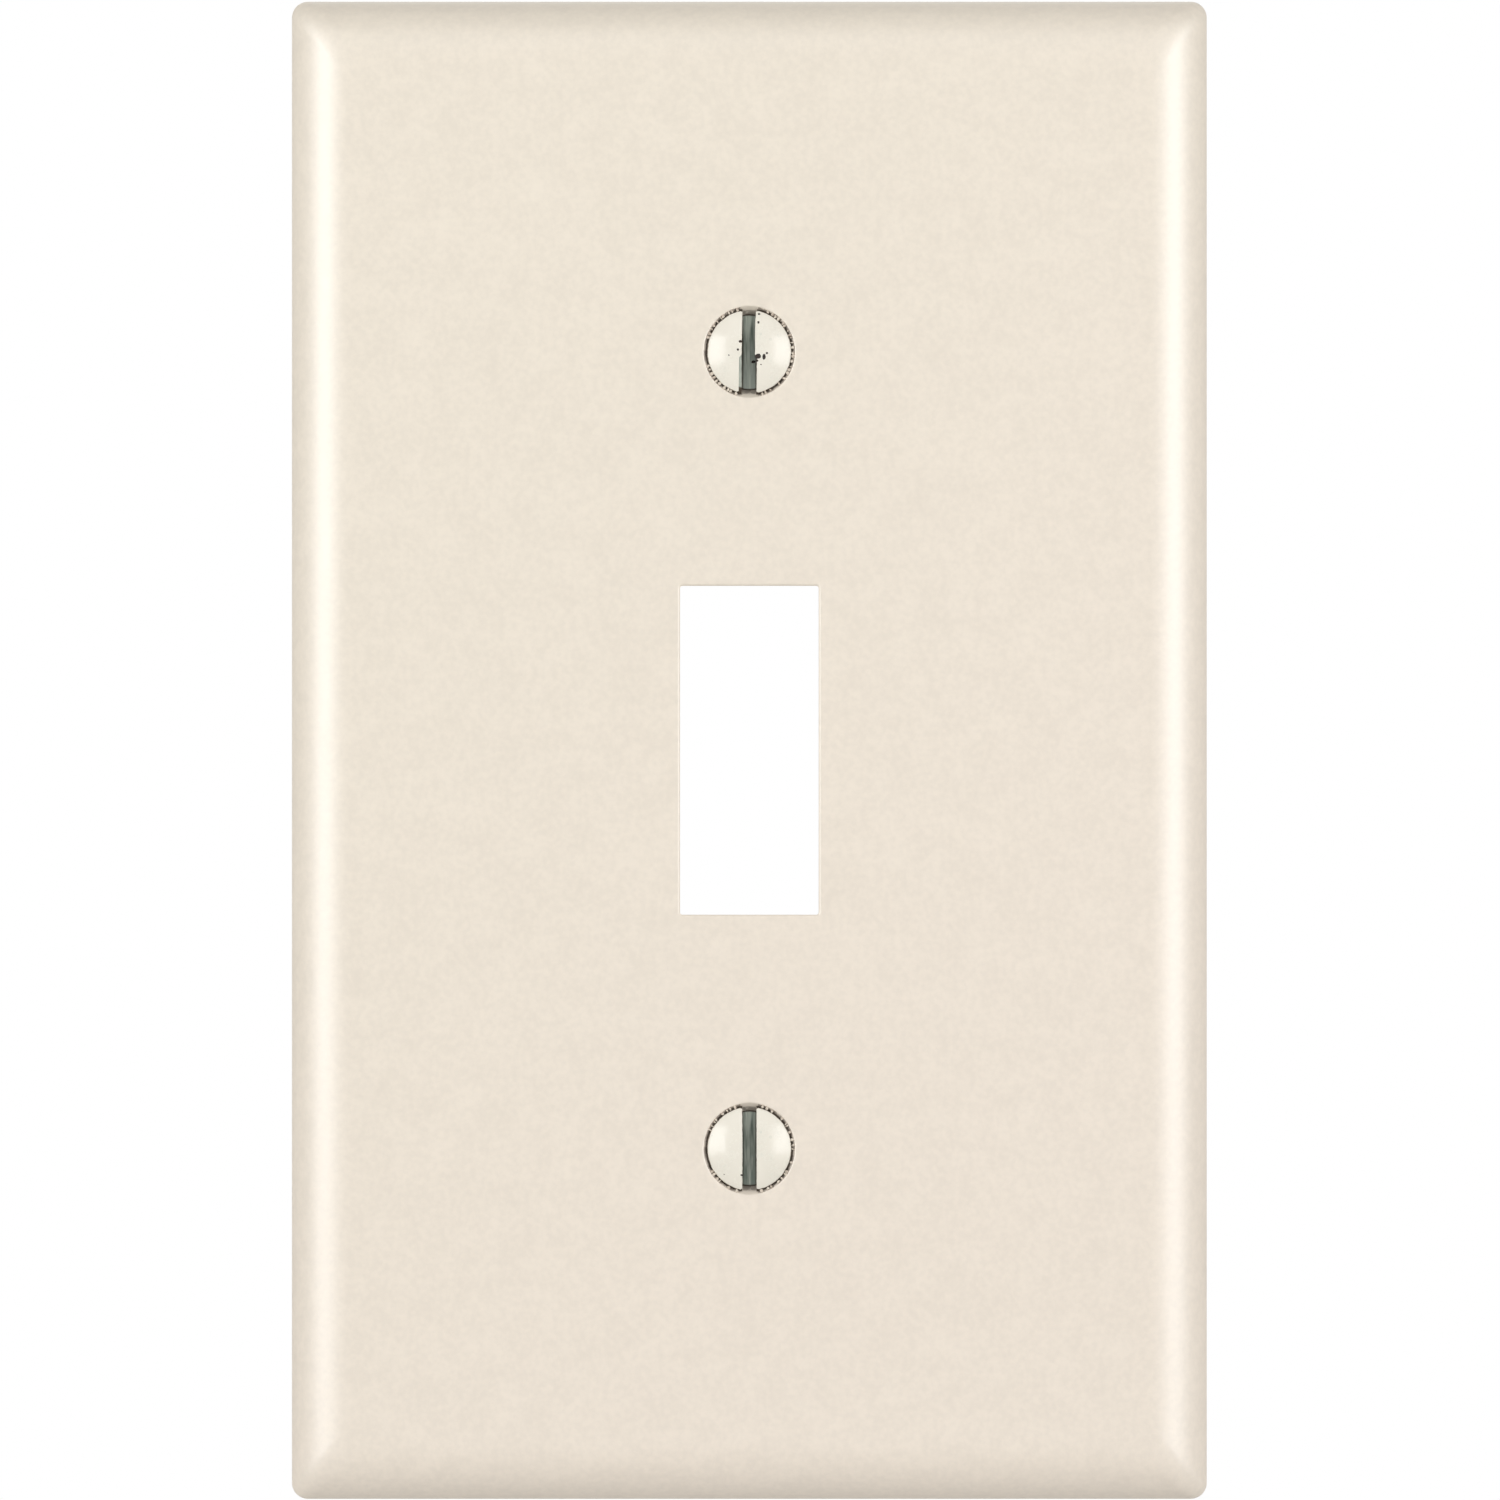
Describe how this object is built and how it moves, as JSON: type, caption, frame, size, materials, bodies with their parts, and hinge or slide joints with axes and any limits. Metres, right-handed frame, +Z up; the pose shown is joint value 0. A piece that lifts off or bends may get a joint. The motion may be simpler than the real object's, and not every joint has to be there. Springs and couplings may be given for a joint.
{
  "type": "toggle switch wall plate",
  "caption": "Toggle switch wall plate with rounded edges, a rectangular lever opening, a ribbed hollow back and slotted oval-head mounting screws that back out of their countersinks.",
  "frame": {"origin": "middle of the plate's outline, on the wall's surface, where the rim's back face lies", "axes": "+Z up the wall, +Y into the wall, so the plate faces -Y, and +X to the right of a person who faces the plate"},
  "size_m": [0.0698, 0.0137, 0.1142],
  "materials": {
    "plate_plastic": "satin light almond moulding with a very fine mottle",
    "screw_paint": "glossy cream enamel on the head, worn at the slot and the rim",
    "screw_steel": "dull grey-green zinc-plated steel, bare in the slot, on the thread and in the paint's chips"
  },
  "bodies": {
    "plate": {"wall_plate": "plate_plastic"},
    "upper_screw": {"upper_screw": "screw_paint"},
    "lower_screw": {"lower_screw": "screw_paint"}
  },
  "joints": [
    {"name": "upper_screw_out", "type": "slide", "parent": "plate", "child": "upper_screw", "axis": [0, -1, 0], "range_m": [0, 0.0135]},
    {"name": "lower_screw_out", "type": "slide", "parent": "plate", "child": "lower_screw", "axis": [0, -1, 0], "range_m": [0, 0.0135]}
  ]
}
